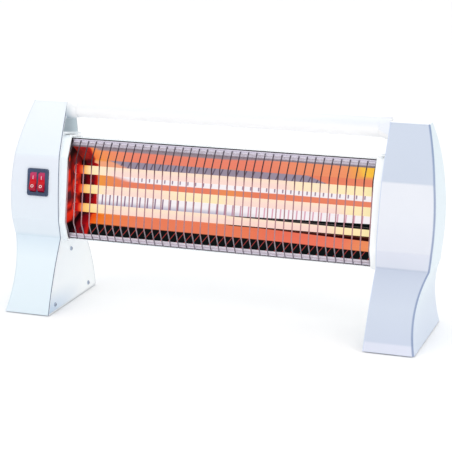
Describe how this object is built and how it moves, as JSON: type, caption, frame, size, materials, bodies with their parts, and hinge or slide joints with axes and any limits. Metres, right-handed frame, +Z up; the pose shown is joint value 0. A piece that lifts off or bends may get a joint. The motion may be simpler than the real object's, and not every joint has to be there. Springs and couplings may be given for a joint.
{
  "type": "bar heater",
  "caption": "Free-standing electric bar heater: glowing quartz tubes and a reflector behind a bent wire guard, between two flared stands with a tube handle and a twin rocker switch.",
  "frame": {"origin": "on the floor, midway between the stands and midway along their feet", "axes": "+X along the heater to the viewer's right, -Y the glowing front, +Z up"},
  "size_m": [0.5004, 0.131, 0.2385],
  "materials": {
    "block_plastic": "moulded",
    "brass": "bright",
    "ceramic": "unglazed ceramic",
    "coil_wire": "glowing resistance wire",
    "dark_plate": "satin, heat-darkened",
    "guard_wire": "bright plated",
    "lead_sleeve": "silicone sleeve",
    "polished_sheet": "polished",
    "quartz": "milky, glowing",
    "rocker_red": "translucent, lit",
    "rubber": "matte",
    "stand_plastic": "semi-gloss moulded",
    "steel_screw": "zinc plated",
    "switch_black": "gloss moulded",
    "white_enamel": "baked white enamel"
  },
  "bodies": {
    "heater": {"bus_bar": "brass", "coil_leads": "lead_sleeve", "cord_grommet": "rubber", "handle_tube": "stand_plastic", "left_body_screws": "steel_screw", "left_cover_screws": "steel_screw", "left_end_plate": "dark_plate", "left_end_ring": "white_enamel", "left_foot_pads": "rubber", "left_handle_screw": "steel_screw", "left_handle_socket": "stand_plastic", "left_inner_cover": "stand_plastic", "left_lower_ceramic_cap": "ceramic", "left_middle_ceramic_cap": "ceramic", "left_stand_shell": "stand_plastic", "left_upper_ceramic_cap": "ceramic", "lower_heating_coil": "coil_wire", "lower_quartz_tube": "quartz", "middle_heating_coil": "coil_wire", "middle_quartz_tube": "quartz", "rear_housing": "white_enamel", "reflector": "polished_sheet", "return_lead": "lead_sleeve", "right_body_screws": "steel_screw", "right_cover_screws": "steel_screw", "right_end_plate": "dark_plate", "right_end_ring": "white_enamel", "right_foot_pads": "rubber", "right_handle_screw": "steel_screw", "right_handle_socket": "stand_plastic", "right_inner_cover": "stand_plastic", "right_lower_ceramic_cap": "ceramic", "right_middle_ceramic_cap": "ceramic", "right_stand_shell": "stand_plastic", "right_upper_ceramic_cap": "ceramic", "supply_leads": "lead_sleeve", "switch_frame": "switch_black", "switch_terminals": "brass", "terminal_block": "block_plastic", "tip_switch": "switch_black", "upper_heating_coil": "coil_wire", "upper_quartz_tube": "quartz", "wire_guard": "guard_wire"},
    "left_rocker": {"left_rocker": "rocker_red"},
    "right_rocker": {"right_rocker": "rocker_red"},
    "tip_plunger": {"tip_plunger": "block_plastic"}
  },
  "joints": [
    {"name": "left_rocker_tilt", "type": "hinge", "parent": "heater", "child": "left_rocker", "pos_m": [-0.2198, -0.01811, 0.14552], "axis": [1, 0, 0], "range_deg": [0, 20]},
    {"name": "right_rocker_tilt", "type": "hinge", "parent": "heater", "child": "right_rocker", "pos_m": [-0.2093, -0.01811, 0.14552], "axis": [1, 0, 0], "range_deg": [0, 20]},
    {"name": "tip_plunger_slide", "type": "slide", "parent": "heater", "child": "tip_plunger", "axis": [0, 0, -1], "range_m": [0, 0.005]}
  ]
}
